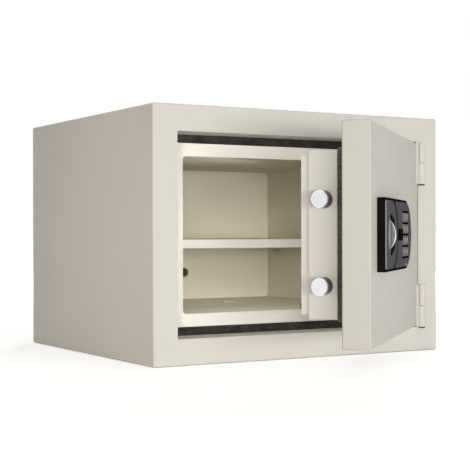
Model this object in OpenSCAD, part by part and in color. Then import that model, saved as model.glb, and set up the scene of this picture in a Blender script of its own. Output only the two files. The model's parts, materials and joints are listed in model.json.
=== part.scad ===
// Electronic fire safe with its door standing open.
// Lengths are millimetres. X runs to the right, Y to the back and Z up.
// The origin is the middle of the cabinet's underside.

/* [Cabinet] */
// Width of the cabinet
cab_w = 412; // [380:1:560]
// Height of the cabinet
cab_h = 300; // [280:1:460]
// Depth of the cabinet
cab_d = 375; // [320:1:520]
// Thickness of the outer sheet
sheet_t = 1.5; // [1:0.1:2]
// Outside radius of the sheet's bends
bend_r = 3.5; // [2.5:0.5:6]
// Width of the lip that holds the back panel
rear_lip = 14; // [8:1:25]

/* [Door opening] */
// Width of the front margin round the opening
frame_w = 31; // [28:0.5:40]
// Corner radius of the opening
open_r = 2; // [1:0.5:4]
// Width of the step inside the opening
step_w = 26; // [22:0.5:34]
// Depth of the step behind the front face
step_d = 37.5; // [36.5:0.5:44]

/* [Inner box] */
// Thickness of the inner box's sheet
liner_t = 1; // [0.8:0.1:1.5]
// Thickness of the inner box's front flange
flange_t = 1.2; // [0.8:0.1:1.5]
// Corner radius of the inner box
cav_r = 4; // [2:0.5:8]
// Thickness of the back wall with its insulation
back_wall = 52; // [35:1:70]

/* [Seals] */
// Width of the flat seal on the step
seal_w = 10.2; // [6:0.2:12]
// Thickness of the flat seal
seal_t = 1.5; // [1:0.1:3]
// Width of the braided seal round the door's plug
braid_w = 10.6; // [6:0.2:14]
// Thickness of the braided seal
braid_t = 2.5; // [1.5:0.1:3.2]

/* [Shelf] */
// Height of the shelf above the floor of the inner box
shelf_up = 87.5; // [60:0.5:110]
// Thickness of the shelf's sheet
shelf_t = 1.2; // [0.8:0.1:2]
// Height of the shelf's turned-down edge
shelf_lip = 11; // [8:0.5:16]
// Distance of the shelf's front edge behind the closed door
shelf_clear = 5; // [3:0.5:20]
// Gap between the shelf and each side wall
shelf_gap = 1.5; // [0.5:0.1:3]
// Gap between the shelf and the back wall
shelf_back_gap = 8; // [3:0.5:30]
// Diameter of a shelf peg
peg_d = 7; // [5:0.5:10]
// Length of a shelf peg
peg_len = 9; // [6:0.5:14]
// Distance of the pegs from the shelf's front and back edges
peg_in = 20; // [12:1:50]

/* [Anchor holes] */
// Bore of the anchor sleeves
anchor_d = 13; // [8:0.5:16]
// Wall of the anchor sleeves
sleeve_t = 1.5; // [1:0.1:3]
// Diameter of the grommets inside
grommet_d = 19; // [19:0.5:30]
// Thickness of the grommets' rims
grommet_t = 0.8; // [0.5:0.1:2]
// Distance of the floor's hole in front of the back
floor_hole_in = 150; // [110:1:200]
// Distance of the floor's hole to the right of the middle
floor_hole_x = 22; // [-60:1:60]
// Distance of the back's hole to the right of the middle
back_hole_x = 6; // [-60:1:60]
// Height of the hole in the back above the underside
back_hole_z = 95.5; // [85:0.5:125]

/* [Hinges] */
// Angle at which the door stands open
door_open = 43; // [0:1:90]
// Distance of the pin's axis beyond the opening's edge
pin_side = 2; // [1.5:0.1:4]
// Distance of the pin's axis in front of the front face
pin_out = 4.8; // [4.8:0.1:6]
// Diameter of the knuckles
barrel_d = 9; // [7.5:0.1:9]
// Diameter of the pins
pin_d = 5; // [3:0.1:5.5]
// Height of a hinge
hinge_h = 54; // [40:1:70]
// Thickness of the leaves
leaf_t = 2.2; // [2:0.1:4]
// Reach of the door's leaf from the pin's axis
door_leaf = 16; // [15:0.5:35]
// Reach of the frame's leaf from the pin's axis
frame_leaf = 12.5; // [7:0.5:20]

/* [Door] */
// Gap round the closed door
door_gap = 2.5; // [2.3:0.1:4]
// Thickness of the door's slab
slab_t = 30; // [26:0.5:32]
// Thickness of the slab's sheet
door_sheet = 2; // [1.5:0.1:3]
// Bend radius of the slab's edges
door_r = 1.8; // [1:0.1:4]
// Gap round the plug in the inner box
plug_gap = 4.1; // [3.6:0.1:7]
// Gap by which the plug's free corner clears the step as it swings
swing_gap = 0.5; // [0.4:0.1:3]
// Depth of the plug behind the slab
plug_d = 41; // [41:0.5:48]
// Thickness of the plug's sheet
plug_t = 1.2; // [1:0.1:1.5]
// Corner radius of the plug
plug_r = 3; // [1:0.5:6]
// Margin of the plug round the inner cover
cover_in = 4; // [2:0.5:8]
// Depth of the inner cover
cover_d = 9; // [8:0.5:14]
// Thickness of the inner cover's sheet
cover_t = 1.5; // [1:0.1:2]
// Diameter of the cover screws' heads
screw_d = 7; // [5:0.5:9]

/* [Bolts] */
// Diameter of the bolts
bolt_d = 18.4; // [14:0.2:20]
// Reach of the thrown bolts beyond the plug's side
bolt_out = 21.5; // [16:0.5:22]
// Height between the two bolts
bolt_pitch = 90.3; // [80:0.1:110]
// Drop of the bolts' middle below the middle of the door
bolt_drop = 8.2; // [0:0.1:12]
// Chamfer at a bolt's end
bolt_bevel = 1.2; // [0.5:0.1:3]
// Module of the rack's teeth
tooth_m = 1.75; // [1.6:0.05:2]
// Number of teeth on the pinion
teeth = 16; // [14:2:18]

/* [Lock unit] */
// Distance of the lock unit from the slab's free edge
lock_in = 36; // [25:0.5:60]
// Length of the lock unit
lock_len = 185.5; // [180:0.5:200]
// Height of the lock unit
lock_h = 78; // [74:1:90]
// Height of the black housing off the door
lock_t = 8.2; // [6:0.1:10]
// Thickness of the grey front plates
fascia_t = 1.4; // [1.2:0.1:3]
// Width of the black rim round the front plates
fascia_rim = 2.7; // [1.5:0.1:4]
// Width of the seam between the front plates
seam_w = 1.3; // [0.6:0.1:2]
// Radius of the seam round the knob
seam_r = 38.5; // [33:0.5:40]
// Distance of the knob's axis from the unit's straight end
knob_in = 39; // [36:0.5:48]
// Diameter of the knob's well
well_d = 46; // [42:0.5:52]
// Diameter of the knob's disc
knob_d = 40; // [34:0.5:40]
// Depth of the disc's face below the front plates
knob_sink = 3; // [0:0.1:4]
// Height of the grip above the front plates
grip_up = 3.8; // [3:0.1:9]
// Radius of the grip's half-moon
grip_r = 23.5; // [20:0.5:30]
// Thickness of the grip at its rim
grip_t = 8; // [6:0.5:11]

/* [Keypad] */
// Distance between key columns
key_dx = 13.8; // [13.5:0.1:15]
// Distance between key rows
key_dz = 12.9; // [12:0.1:14]
// Height of the bars between the key rows
bar_h = 2.2; // [1.6:0.1:3]
// Travel of a key
key_travel = 0.8; // [0.4:0.1:0.9]
// Distance of the keypad's middle from the middle of the unit's round end
keypad_in = 12; // [8:0.5:14]
// Width of the square cap over the override lock
square_w = 15; // [12:0.5:16]
// Height of the square cap
square_h = 13; // [10:0.5:16]
// Distance the square cap stands off the front plate
square_up = 3.2; // [1.5:0.1:5]

/* [Hidden] */
$fn = 64;

// Clearances
run = 0.06;
seat = 0.1;
free = 0.3;
slack = 0.2;
cut = 1;
tight_r = 0.4;

// Colours
cream = [0.85, 0.83, 0.78];
liner_cream = [0.83, 0.81, 0.73];
filler = [0.72, 0.71, 0.68];
seal_black = [0.16, 0.15, 0.14];
steel = [0.72, 0.73, 0.75];
chrome = [0.92, 0.93, 0.94];
black = [0.08, 0.08, 0.08];
slate = [0.36, 0.37, 0.39];
key_grey = [0.58, 0.58, 0.57];
board_green = [0.1, 0.35, 0.2];
copper = [0.75, 0.45, 0.25];
brass = [0.75, 0.62, 0.32];

// Opening and inner box, measured from the front face
mid_z = cab_h/2;
open_x = cab_w/2 - frame_w;
open_z0 = frame_w;
open_z1 = cab_h - frame_w;
cav_x = open_x - step_w;
cav_z0 = open_z0 + step_w;
cav_z1 = open_z1 - step_w;
cav_y1 = cab_d - back_wall;
panel_y = cab_d - 2*sheet_t;
inner_r = bend_r - sheet_t;

// Door pieces in the closed position
pin_x = open_x + pin_side;
barrel_r = barrel_d/2;
slab_x = open_x - door_gap;
slab_z0 = open_z0 + door_gap;
slab_z1 = open_z1 - door_gap;
plug_y1 = slab_t + plug_d;
plug_z0 = cav_z0 + plug_gap;
plug_z1 = cav_z1 - plug_gap;
plug_x1 = cav_x - plug_gap;
swing_r = norm([cav_x + pin_x - swing_gap, step_d + pin_out]);
plug_x0 = pin_x - sqrt(pow(swing_r, 2) - pow(plug_y1 + pin_out, 2));
cover_y1 = plug_y1 + cover_d;
rail_out = 3;
shelf_y0 = cover_y1 + rail_out + shelf_clear;
shelf_y1 = cav_y1 - shelf_back_gap;
shelf_z1 = cav_z0 + shelf_up;
shelf_z0 = shelf_z1 - shelf_lip;

// Boltwork behind the slab
bolt_r = bolt_d/2;
guide_wall = 1.6;
plate_t = 2;
carriage_t = 3;
ring_t = plug_t;
carriage_y1 = plug_y1 - ring_t - 0.5;
carriage_y0 = carriage_y1 - carriage_t;
bolt_y = carriage_y0 - 2.3 - bolt_r;
mech_y1 = bolt_y - bolt_r - guide_wall;
mech_y0 = mech_y1 - plate_t;
bolt_z = [mid_z - bolt_drop - bolt_pitch/2, mid_z - bolt_drop + bolt_pitch/2];
bolt_tip = plug_x0 - bolt_out;
guide_x0 = plug_x0 + plug_t + free;
guide_t = 8;
strike_r = bolt_r + 5;
strike_lo = [bolt_tip - 4, bolt_y - strike_r, bolt_z[0] - strike_r];
strike_hi = [-cav_x - liner_t, bolt_y + strike_r, bolt_z[1] + strike_r];
bar_x0 = guide_x0 + guide_t + 2.5;
bar_w = 21;
lug_t = 4;
lug_h = 20;
lug_x0 = bar_x0 + bar_w - lug_t;
fix_r = 2.9;
fix_len = 13;
fix_head_r = 5;
pitch_r = tooth_m*teeth/2;
travel = pitch_r*PI/2;

// Lock unit on the door's face
lock_x0 = -slab_x + lock_in;
lock_r = lock_h/2;
round_x = lock_x0 + lock_len - lock_r;
knob_x = lock_x0 + knob_in;
knob_z = mid_z;
fascia_y = -lock_t - fascia_t;
wall_t = 1.5;
well_floor = 1.2;
well_back = 1.2;
spindle_r = 4;
disc_y0 = fascia_y + knob_sink;
spindle_y0 = disc_y0 + 0.8;
tube_r = 6;
keypad_x = round_x - keypad_in;
keypad_w = 3*key_dx + 1.2;
keypad_h = 4*key_dz + bar_h;
mat_y = -4.6;
mat_t = 0.6;
board_t = 1.2;
board_y0 = mat_y + mat_t;
board_h = 4*key_dz + 6.4;
post_r = 2.5;
post_in = 3;
key_back = mat_y - key_travel - seat;
square_x = min(knob_x + seam_r + seam_w/2 + 11, keypad_x - keypad_w/2 - square_w/2 - 2);
board_x0 = square_x - square_w/2;
board_x1 = keypad_x + keypad_w/2 + 2*post_in;
light_z = mid_z - lock_r + fascia_rim + 2.2;
light_x = round_x - 6.5;
light_r = 1.3;
cable_x = round_x - 2*lock_r/3;
cable_z = mid_z - 2*lock_r/3;
cable_r = 2;

// Rack, pinion and studs, placed from the knob's axis
rack_y0 = mech_y1 + 13;
rack_z = knob_z + pitch_r;
rack_add = 0.85*tooth_m;
rack_ded = 1.25*tooth_m;
rack_bar = 6;
pressure = 20;
backlash = 0.25;
stud_r = 3;
stud_head = 5.5;
arm_h = 16;
plunger_r = 3;
solenoid_w = 16;
plunger_x = knob_x + 1.5*solenoid_w;
arm_x1 = knob_x + 2*travel;
lower_arm_x1 = plunger_x + solenoid_w/2;
upper_arm_z = rack_z + rack_ded + rack_bar/2 + arm_h/2;
lower_arm_z = knob_z - pitch_r - arm_h - 1;
upper_stud = [arm_x1 - pitch_r, upper_arm_z + stud_r - 1];
lower_stud = [knob_x + 2*stud_r, lower_arm_z];

// Battery box in the inner cover
cell_r = 7.1;
cell_len = 50;
cell_pitch = 14.6;
box_wall = 1.5;
box_w = 4*cell_pitch + 1 + 2*box_wall;
box_h = cell_len + 2 + 2*box_wall;
box_in = 95;
box_x = plug_x1 - box_in;
box_y1 = cover_y1 - cover_t;
box_y0 = box_y1 - 2*cell_r - box_wall - 1.5;
lid_t = 1.6;
lid_over = 3;
rail_w = 2;
rail_lip = 3;

// A block between two corners
module block(lo, hi) {
    translate(lo) cube(hi - lo);
}

// A flat rectangle with round corners, between two corners
module round_rect(lo, hi, r) {
    translate([lo[0] + r, lo[1]]) square([hi[0] - lo[0] - 2*r, hi[1] - lo[1]]);
    translate([lo[0], lo[1] + r]) square([hi[0] - lo[0], hi[1] - lo[1] - 2*r]);
    for (x = [lo[0] + r, hi[0] - r], z = [lo[1] + r, hi[1] - r])
        translate([x, z]) circle(r);
}

// Stands a flat shape up in the XZ plane and gives it a depth along Y
module along_y(y0, y1) {
    translate([0, y1, 0]) rotate([90, 0, 0]) linear_extrude(y1 - y0) children();
}

// A slab with round corners, seen from the front
module pane(lo, hi, r) {
    along_y(lo[1], hi[1]) round_rect([lo[0], lo[2]], [hi[0], hi[2]], r);
}

// A block with every edge rounded
module soft_block(lo, hi, r) {
    intersection() {
        pane(lo, hi, r);
        translate([0, 0, lo[2]]) linear_extrude(hi[2] - lo[2])
            round_rect([lo[0], lo[1]], [hi[0], hi[1]], r);
        translate([lo[0], 0, 0]) rotate([90, 0, 90]) linear_extrude(hi[0] - lo[0])
            round_rect([lo[1], lo[2]], [hi[1], hi[2]], r);
    }
}

// Round bars along the three axes
module bar_x(y, z, r, x0, x1) {
    translate([x0, y, z]) rotate([0, 90, 0]) cylinder(r = r, h = x1 - x0);
}
module bar_y(x, z, r, y0, y1) {
    translate([x, y1, z]) rotate([90, 0, 0]) cylinder(r = r, h = y1 - y0);
}
module bar_z(x, y, r, z0, z1) {
    translate([x, y, z0]) cylinder(r = r, h = z1 - z0);
}

// Round bars through the floor and through the back
module floor_bar(r, z0, z1) {
    bar_z(floor_hole_x, cab_d - floor_hole_in, r, z0, z1);
}
module back_bar(r, y0, y1) {
    bar_y(back_hole_x, back_hole_z, r, y0, y1);
}

// Places a cabinet piece drawn from the front face
module in_cabinet() {
    translate([0, -cab_d/2, 0]) children();
}

// Places a door piece drawn in the closed position
module in_door() {
    in_cabinet() translate([pin_x, -pin_out, 0]) rotate([0, 0, door_open])
        translate([-pin_x, pin_out, 0]) children();
}

module outer_shell() {
    x = cab_w/2;
    color(cream) in_cabinet() difference() {
        soft_block([-x, 0, 0], [x, cab_d, cab_h], bend_r);
        soft_block([-x + sheet_t, sheet_t, sheet_t],
            [x - sheet_t, cab_d - sheet_t, cab_h - sheet_t], inner_r);
        pane([-open_x, -cut, open_z0], [open_x, sheet_t + cut, open_z1], open_r);
        pane([-x + rear_lip, cab_d - sheet_t - cut, rear_lip],
            [x - rear_lip, cab_d + cut, cab_h - rear_lip], open_r);
        floor_bar(anchor_d/2, -cut, sheet_t + cut);
    }
}

module back_panel() {
    x = cab_w/2 - bend_r;
    color(cream) in_cabinet() difference() {
        block([-x, panel_y, bend_r], [x, cab_d - sheet_t, cab_h - bend_r]);
        back_bar(anchor_d/2, panel_y - cut, cab_d);
    }
}

module door_frame() {
    hole = cav_x + liner_t + slack;
    color(cream) in_cabinet() difference() {
        pane([-open_x - sheet_t, sheet_t, open_z0 - sheet_t],
            [open_x + sheet_t, step_d + sheet_t, open_z1 + sheet_t], open_r + sheet_t);
        pane([-open_x, 0, open_z0], [open_x, step_d, open_z1], open_r);
        pane([-hole, step_d - cut, cav_z0 - liner_t - slack],
            [hole, step_d + 2*sheet_t, cav_z1 + liner_t + slack], cav_r + liner_t + slack);
    }
}

// The inner box's outline, grown by a margin
module cavity(grow, y0, y1) {
    pane([-cav_x - grow, y0, cav_z0 - grow], [cav_x + grow, y1, cav_z1 + grow], cav_r + grow);
}

module cabinet_insulation() {
    x = cab_w/2 - sheet_t;
    color(filler) in_cabinet() difference() {
        soft_block([-x, sheet_t, sheet_t], [x, cab_d - sheet_t, cab_h - sheet_t], inner_r);
        block([-x - cut, panel_y, 0], [x + cut, cab_d, cab_h]);
        pane([-open_x - sheet_t, 0, open_z0 - sheet_t],
            [open_x + sheet_t, step_d + sheet_t, open_z1 + sheet_t], open_r + sheet_t);
        cavity(liner_t, step_d, cav_y1 + liner_t);
        block(strike_lo, strike_hi + [cut, 0, 0]);
        floor_bar(anchor_d/2 + sleeve_t, 0, cav_z0);
        back_bar(anchor_d/2 + sleeve_t, cav_y1, cab_d);
    }
}

module inner_liner() {
    flange_x = open_x - seal_w - 2*free;
    rim = seal_w + 2*free;
    color(liner_cream) in_cabinet() difference() {
        union() {
            cavity(liner_t, step_d - flange_t, cav_y1 + liner_t);
            pane([-flange_x, step_d - flange_t, open_z0 + rim],
                [flange_x, step_d, open_z1 - rim], cav_r);
        }
        cavity(0, 0, cav_y1);
        for (z = bolt_z)
            bar_x(bolt_y, z, bolt_r + cut, -cav_x - liner_t - cut, -cav_x + cav_r);
        floor_bar(anchor_d/2, cav_z0 - liner_t - cut, cav_z0 + cut);
        back_bar(anchor_d/2, cav_y1 - cut, cav_y1 + liner_t + cut);
    }
}

module frame_seal() {
    x = open_x - free;
    color(seal_black) in_cabinet() difference() {
        pane([-x, step_d - seal_t, open_z0 + free], [x, step_d, open_z1 - free], open_r);
        pane([-x + seal_w, 0, open_z0 + free + seal_w],
            [x - seal_w, step_d + cut, open_z1 - free - seal_w], cav_r);
    }
}

module strike_channel() {
    color(steel) in_cabinet() difference() {
        block(strike_lo, strike_hi);
        block(strike_lo + [-cut, sheet_t, sheet_t], strike_hi - [sheet_t, sheet_t, sheet_t]);
        for (z = bolt_z)
            bar_x(bolt_y, z, bolt_r + cut, strike_hi[0] - sheet_t - cut, strike_hi[0] + cut);
    }
}

module shelf_pegs() {
    r = peg_d/2;
    z = shelf_z0 - free - r;
    color(steel) in_cabinet()
        for (y = [shelf_y0 + peg_in, shelf_y1 - peg_in], side = [0, 1])
            mirror([side, 0, 0]) {
                bar_x(y, z, r, cav_x - peg_len, cav_x);
                bar_x(y, z, r + 2, cav_x - 1, cav_x);
            }
}

module anchor_sleeves() {
    r = anchor_d/2;
    color(steel) in_cabinet() {
        difference() {
            floor_bar(r + sleeve_t, sheet_t, cav_z0 - liner_t);
            floor_bar(r, 0, cav_z0);
        }
        difference() {
            back_bar(r + sleeve_t, cav_y1 + liner_t, panel_y);
            back_bar(r, cav_y1, cab_d);
        }
    }
}

module anchor_grommets() {
    r = anchor_d/2;
    color(liner_cream) in_cabinet() {
        difference() {
            floor_bar(grommet_d/2, cav_z0, cav_z0 + grommet_t);
            floor_bar(r, cav_z0 - cut, cav_z0 + grommet_t + cut);
        }
        difference() {
            back_bar(grommet_d/2, cav_y1 - grommet_t, cav_y1);
            back_bar(r, cav_y1 - grommet_t - cut, cav_y1 + cut);
        }
    }
}

// Lower ends of the two hinges
hinge_gap = 0.5;
hinge_z = [open_z0 + hinge_gap, open_z1 - hinge_gap - hinge_h];
knuckle_h = hinge_h/2 - slack;

module frame_hinge(z) {
    z0 = z + hinge_h - knuckle_h;
    leaf_x = pin_x + barrel_r + free;
    color(cream) in_cabinet() difference() {
        union() {
            bar_z(pin_x, -pin_out, barrel_r, z0, z + hinge_h);
            block([pin_x, -leaf_t, z0], [leaf_x + seat, 0, z + hinge_h]);
            block([leaf_x, -leaf_t, z], [pin_x + frame_leaf, 0, z + hinge_h]);
        }
        bar_z(pin_x, -pin_out, pin_d/2 + 0.02, z0 - cut, z + hinge_h + cut);
    }
}

module door_hinge(z) {
    inner = pin_x - barrel_r - free - seat;
    color(cream) in_door() difference() {
        union() {
            block([pin_x - door_leaf, -leaf_t, z], [inner, 0, z + hinge_h]);
            block([inner - seat, -leaf_t, z], [pin_x, -free, z + knuckle_h]);
            bar_z(pin_x, -pin_out, barrel_r, z, z + knuckle_h);
        }
        bar_z(pin_x, -pin_out, pin_d/2 + run, z - cut, z + hinge_h + cut);
    }
}

module hinge_pins() {
    color(steel) in_cabinet() for (z = hinge_z) {
        bar_z(pin_x, -pin_out, pin_d/2, z - seat, z + hinge_h);
        bar_z(pin_x, -pin_out, barrel_r - 0.5, z - seat - 1.4, z - seat);
    }
}

module shelf() {
    x = cav_x - shelf_gap;
    color(liner_cream) in_cabinet() difference() {
        block([-x, shelf_y0, shelf_z0], [x, shelf_y1, shelf_z1]);
        block([-x + shelf_t, shelf_y0 + shelf_t, shelf_z0 - cut],
            [x - shelf_t, shelf_y1 - shelf_t, shelf_z1 - shelf_t]);
    }
}

// The plug's outline, grown by a margin
module plug(grow, y0, y1) {
    pane([plug_x0 - grow, y0, plug_z0 - grow], [plug_x1 + grow, y1, plug_z1 + grow],
        max(plug_r + grow, tight_r));
}

module door_outer_pan() {
    color(cream) in_door() difference() {
        soft_block([-slab_x, 0, slab_z0], [slab_x, slab_t, slab_z1], door_r);
        block([-slab_x + door_sheet, door_sheet, slab_z0 + door_sheet],
            [slab_x - door_sheet, slab_t - sheet_t, slab_z1 - door_sheet]);
        plug(0, slab_t - sheet_t - cut, slab_t + cut);
        bar_y(knob_x, knob_z, tube_r + seat, -cut, door_sheet + cut);
        bar_y(cable_x, cable_z, cable_r + slack, -cut, door_sheet + cut);
    }
}

module door_insulation() {
    fill_y = slab_t - sheet_t;
    color(filler) in_door() difference() {
        union() {
            block([-slab_x + door_sheet, door_sheet, slab_z0 + door_sheet],
                [slab_x - door_sheet, fill_y, slab_z1 - door_sheet]);
            plug(-plug_t, fill_y - cut, mech_y0);
        }
        bar_y(knob_x, knob_z, tube_r + seat, 0, mech_y0 + cut);
        bar_y(cable_x, cable_z, cable_r + seat, 0, mech_y0 + cut);
    }
}

module door_plug_pan() {
    ring = 20;
    color(cream) in_door() difference() {
        plug(0, slab_t - sheet_t, plug_y1);
        plug(-plug_t, slab_t - sheet_t - cut, plug_y1 - ring_t);
        plug(-ring, plug_y1 - ring_t - cut, plug_y1 + cut);
        for (z = bolt_z)
            bar_x(bolt_y, z, bolt_r + slack, plug_x0 - cut, plug_x0 + plug_t + cut);
        screw_holes(plug_y1 - 2*ring_t, plug_y1 + cut);
    }
}

module door_seal() {
    color(seal_black) in_door() difference() {
        plug(braid_t, slab_t, slab_t + braid_w);
        plug(0, slab_t - cut, slab_t + braid_w + cut);
    }
}

// Inner cover's outline
cover_x0 = plug_x0 + cover_in;
cover_x1 = plug_x1 - cover_in;
cover_z0 = plug_z0 + cover_in;
cover_z1 = plug_z1 - cover_in;
screw_in = 9.5;
screw_x = [cover_x0 + screw_in - 2.5, cover_x1 - screw_in + 2.5];
screw_z = [cover_z0 + screw_in, cover_z1 - screw_in];
screw_r = screw_d/4;

module screw_holes(y0, y1) {
    for (x = screw_x, z = screw_z) bar_y(x, z, screw_r + seat, y0, y1);
}

module inner_cover() {
    lid_x = box_w/2 + lid_over;
    lid_z = box_h/2 + lid_over;
    color(cream) in_door() {
        difference() {
            pane([cover_x0, plug_y1, cover_z0], [cover_x1, cover_y1, cover_z1], plug_r);
            pane([cover_x0 + cover_t, plug_y1 - cut, cover_z0 + cover_t],
                [cover_x1 - cover_t, cover_y1 - cover_t, cover_z1 - cover_t],
                max(plug_r - cover_t, tight_r));
            block([box_x - box_w/2 + box_wall, plug_y1, knob_z - box_h/2 + box_wall],
                [box_x + box_w/2 - box_wall, cover_y1 + cut, knob_z + box_h/2 - box_wall]);
            screw_holes(plug_y1, cover_y1 + cut);
        }
        for (side = [0, 1]) translate([box_x, 0, 0]) mirror([side, 0, 0]) {
            block([lid_x + free, cover_y1 - seat, knob_z - lid_z],
                [lid_x + free + rail_w, cover_y1 + rail_out, knob_z + lid_z]);
            block([lid_x - rail_lip, cover_y1 + lid_t + 2*slack, knob_z - lid_z],
                [lid_x + free + rail_w, cover_y1 + rail_out, knob_z + lid_z]);
        }
        block([box_x - lid_x, cover_y1 - seat, knob_z + lid_z + free],
            [box_x + lid_x, cover_y1 + rail_out, knob_z + lid_z + free + rail_w]);
    }
}

module cover_screws() {
    color(steel) in_door() for (x = screw_x, z = screw_z) {
        bar_y(x, z, screw_r, plug_y1 - ring_t, cover_y1 + seat);
        difference() {
            bar_y(x, z, screw_d/2, cover_y1, cover_y1 + 2);
            block([x - screw_d/3, cover_y1 + 1.1, z - 0.5], [x + screw_d/3, cover_y1 + 3, z + 0.5]);
            block([x - 0.5, cover_y1 + 1.1, z - screw_d/3], [x + 0.5, cover_y1 + 3, z + screw_d/3]);
        }
    }
}

module mechanism_plate() {
    color(steel) in_door() difference() {
        plug(-plug_t, mech_y0, mech_y1);
        bar_y(knob_x, knob_z, spindle_r + run, mech_y0 - cut, mech_y1 + cut);
        bar_y(cable_x, cable_z, cable_r + slack, mech_y0 - cut, mech_y1 + cut);
    }
}

module bolt_guides() {
    wall = bolt_r + 4.5;
    color(steel) in_door() for (z = bolt_z) difference() {
        block([guide_x0, mech_y1, z - wall], [guide_x0 + guide_t, carriage_y0 - free, z + wall]);
        bar_x(bolt_y, z, bolt_r + run, guide_x0 - cut, guide_x0 + guide_t + cut);
    }
}

module carriage_studs() {
    color(steel) in_door() for (p = [upper_stud, lower_stud]) {
        bar_y(p[0], p[1], stud_r, mech_y1, carriage_y1 + free + 1.6);
        bar_y(p[0], p[1], stud_head, carriage_y1 + free, carriage_y1 + free + 1.6);
    }
}

module spindle_tube() {
    color(steel) in_door() difference() {
        bar_y(knob_x, knob_z, tube_r, seat, mech_y0);
        bar_y(knob_x, knob_z, spindle_r + run, 0, mech_y0 + cut);
    }
}

module solenoid() {
    w = solenoid_w/2;
    top = carriage_y0 - 4;
    color(copper) in_door() difference() {
        union() {
            block([plunger_x - w, mech_y1, lower_arm_z - w],
                [plunger_x + w, mech_y1 + 1.5, lower_arm_z + w]);
            bar_y(plunger_x, lower_arm_z, w - 1, mech_y1, top);
            block([plunger_x - w, top - 1.5, lower_arm_z - w], [plunger_x + w, top, lower_arm_z + w]);
        }
        bar_y(plunger_x, lower_arm_z, plunger_r + run, mech_y1 + 2.5, top + cut);
    }
}

module battery_box() {
    x = box_w/2;
    z = box_h/2;
    color(black) in_door() difference() {
        block([box_x - x, box_y0, knob_z - z], [box_x + x, box_y1, knob_z + z]);
        block([box_x - x + box_wall, box_y0 + box_wall, knob_z - z + box_wall],
            [box_x + x - box_wall, box_y1 + cut, knob_z + z - box_wall]);
    }
}

module batteries() {
    y = box_y0 + box_wall + cell_r + seat;
    color(brass) in_door() for (i = [-1.5, -0.5, 0.5, 1.5]) {
        x = box_x + i*cell_pitch;
        bar_z(x, y, cell_r, knob_z - cell_len/2 - 0.9, knob_z + cell_len/2 - 1);
        bar_z(x, y, 2.7, knob_z, knob_z + cell_len/2 + 0.9);
    }
}

// The lock unit's outline, straight at the left and round at the right
module lock_outline(inset) {
    r = lock_r - inset;
    translate([round_x, knob_z]) circle(r, $fn = 96);
    intersection() {
        round_rect([lock_x0 + inset, knob_z - r], [round_x + r, knob_z + r], 2);
        translate([lock_x0, knob_z - r]) square([round_x - lock_x0, 2*r]);
    }
}

module lock_housing() {
    inner_y = -lock_t + wall_t;
    color(black) in_door() difference() {
        union() {
            difference() {
                along_y(-lock_t, 0) lock_outline(0);
                along_y(inner_y, cut) lock_outline(2);
            }
            bar_y(knob_x, knob_z, well_d/2 + wall_t, -lock_t + 0.5, -well_back);
            for (x = [board_x0 + post_in, board_x1 - post_in], side = [-1, 1])
                bar_y(x, knob_z + side*(board_h/2 - post_in), post_r, inner_y - seat, board_y0);
        }
        bar_y(knob_x, knob_z, well_d/2, -lock_t - cut, -well_back - well_floor);
        bar_y(knob_x, knob_z, spindle_r + free, -lock_t, cut);
        block([keypad_x - keypad_w/2, -lock_t - cut, knob_z - keypad_h/2],
            [keypad_x + keypad_w/2, inner_y + cut, knob_z + keypad_h/2]);
        square_hole(-lock_t - cut, inner_y + cut);
        bar_y(light_x, light_z, light_r + seat, -lock_t - cut, inner_y + cut);
    }
}

module square_hole(y0, y1) {
    w = square_w/2 - 1.5;
    h = square_h/2 - 1.5;
    block([square_x - w, y0, knob_z - h], [square_x + w, y1, knob_z + h]);
}

// The part of the front that belongs to the knob, out to a radius
module knob_side(r) {
    translate([lock_x0 - cut, knob_z - lock_r]) square([knob_x - lock_x0 + cut, lock_h]);
    translate([knob_x, knob_z]) circle(r, $fn = 96);
}

module knob_fascia() {
    color(slate) in_door() along_y(fascia_y, -lock_t) difference() {
        intersection() {
            lock_outline(fascia_rim);
            knob_side(seam_r - seam_w/2);
        }
        translate([knob_x, knob_z]) circle(well_d/2, $fn = 96);
    }
}

module keypad_fascia() {
    color(slate) in_door() difference() {
        along_y(fascia_y, -lock_t) difference() {
            lock_outline(fascia_rim);
            knob_side(seam_r + seam_w/2);
        }
        block([keypad_x - keypad_w/2, fascia_y - cut, knob_z - keypad_h/2],
            [keypad_x + keypad_w/2, -lock_t + cut, knob_z + keypad_h/2]);
        square_hole(fascia_y - cut, -lock_t + cut);
        bar_y(light_x, light_z, light_r + seat, fascia_y - cut, -lock_t + cut);
    }
}

// Middle of a key, counted from the left and from the top
function key_x(col) = keypad_x + (col - 1)*key_dx;
function key_z(row) = knob_z + (1.5 - row)*key_dz;
key_w = key_dx - 1.3;
key_h = key_dz - bar_h - 0.5;
key_lip = 0.4;

module keypad_bezel() {
    w = keypad_w/2 - seat;
    h = keypad_h/2 - seat;
    color(black) in_door() difference() {
        union() {
            block([keypad_x - w, fascia_y, knob_z - h], [keypad_x + w, -lock_t + wall_t, knob_z + h]);
            for (i = [-2:2])
                block([keypad_x - w, fascia_y - 0.8, max(knob_z + i*key_dz - bar_h/2, knob_z - h)],
                    [keypad_x + w, fascia_y, min(knob_z + i*key_dz + bar_h/2, knob_z + h)]);
        }
        for (col = [0:2], row = [0:3])
            block([key_x(col) - key_w/2 - slack, fascia_y - cut, key_z(row) - key_h/2 - slack],
                [key_x(col) + key_w/2 + slack, 0, key_z(row) + key_h/2 + slack]);
    }
}

module circuit_board() {
    color(board_green) in_door() difference() {
        block([board_x0, board_y0, knob_z - board_h/2],
            [board_x1, board_y0 + board_t, knob_z + board_h/2]);
        bar_y(cable_x, cable_z, cable_r, board_y0 + board_t/2, 0);
    }
}

module keypad_mat() {
    color(key_grey) in_door()
        block([keypad_x - keypad_w/2, mat_y, knob_z - keypad_h/2],
            [keypad_x + keypad_w/2, mat_y + mat_t, knob_z + keypad_h/2]);
}

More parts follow.
